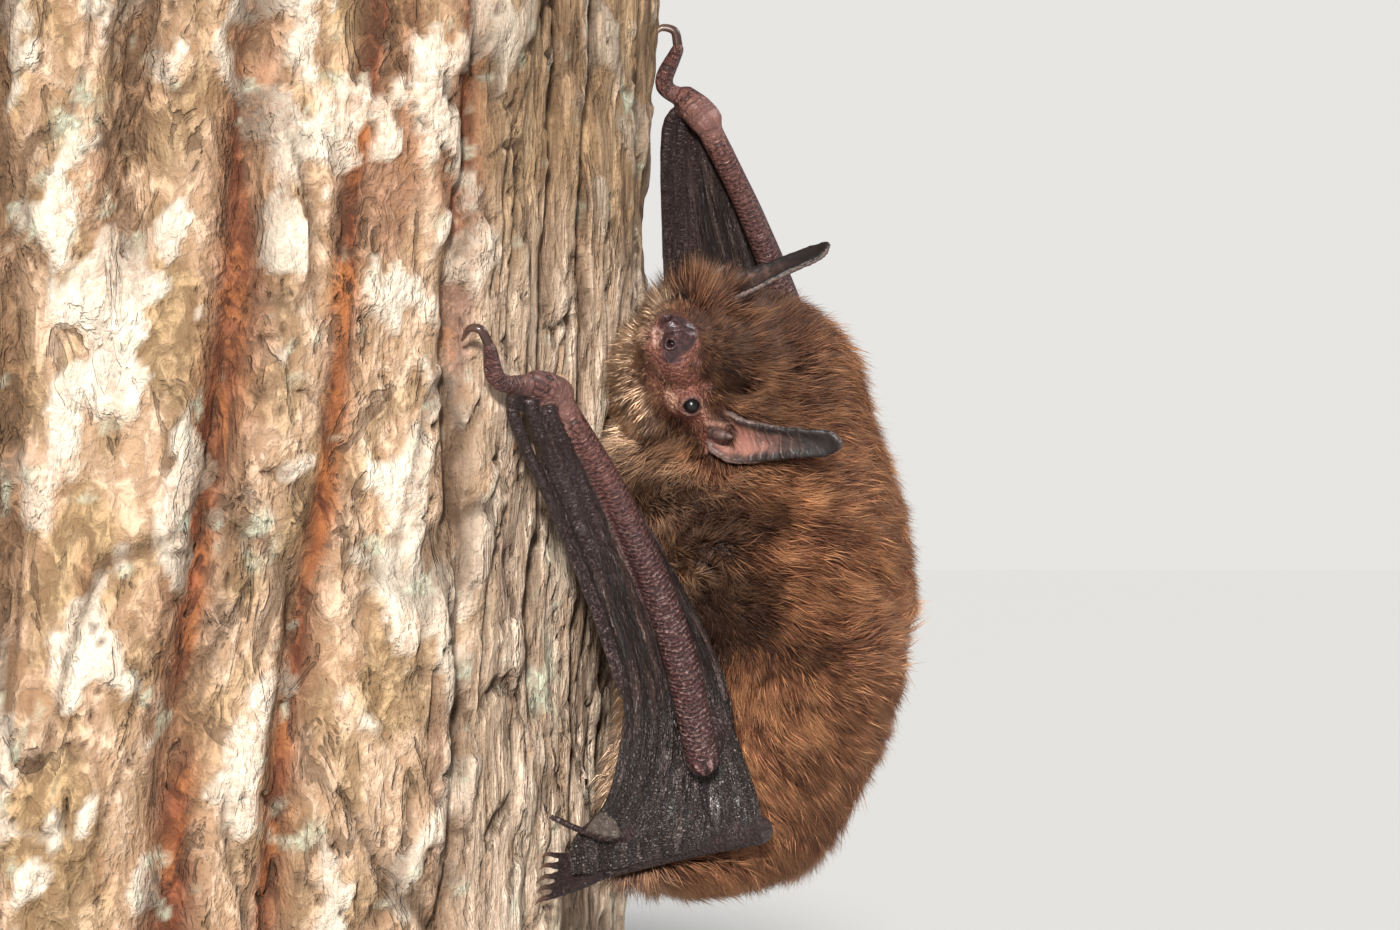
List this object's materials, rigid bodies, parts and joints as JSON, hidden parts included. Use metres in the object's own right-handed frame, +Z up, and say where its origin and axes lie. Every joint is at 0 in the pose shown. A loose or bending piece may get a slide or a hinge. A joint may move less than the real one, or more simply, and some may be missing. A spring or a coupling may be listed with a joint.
{
  "type": "bat model",
  "caption": "Life-size brown bat that clings head-up to a cut length of tree trunk, wings folded and head turned to its left, on a plain round stand.",
  "frame": {"origin": "centre of the stand's round underside", "axes": "+Z up; +X from the trunk towards the side that the bat clings to; -Y towards the side that the bat's face and left wing are on"},
  "size_m": [0.1275, 0.126, 0.122],
  "materials": {
    "fur": "soft, dense brown fur, paler at the tips",
    "wing_skin": "dark, finely wrinkled bare skin",
    "ear_skin": "bare skin, flesh-coloured at the base and nearly black at the tip",
    "claw_horn": "smooth horn",
    "eye_black": "wet black",
    "bark": "rough, fissured bark with sawn ends",
    "stand_black": "satin black paint"
  },
  "bodies": {
    "root": {"head": "fur", "neck": "fur", "chest": "fur", "belly": "fur", "rump": "fur", "eye_left": "eye_black", "eye_right": "eye_black", "ear_left": "ear_skin", "ear_right": "ear_skin", "tragus_left": "ear_skin", "tragus_right": "ear_skin", "upper_arm_left": "wing_skin", "upper_arm_right": "wing_skin", "forearm_left": "wing_skin", "forearm_right": "wing_skin", "wrist_left": "wing_skin", "wrist_right": "wing_skin", "thumb_left": "wing_skin", "thumb_right": "wing_skin", "thumb_claw_left": "claw_horn", "thumb_claw_right": "claw_horn", "finger_3_left": "wing_skin", "finger_3_right": "wing_skin", "finger_4_left": "wing_skin", "finger_4_right": "wing_skin", "finger_5_left": "wing_skin", "finger_5_right": "wing_skin", "wing_tip_left": "wing_skin", "wing_tip_right": "wing_skin", "wing_membrane_left": "wing_skin", "wing_membrane_right": "wing_skin", "leg_left": "wing_skin", "leg_right": "wing_skin", "foot_left": "wing_skin", "foot_right": "wing_skin", "tail": "wing_skin", "tail_membrane": "wing_skin", "perch_trunk": "bark", "stand_base": "stand_black", "stand_rod_left": "stand_black", "stand_rod_right": "stand_black"}
  },
  "joints": []
}
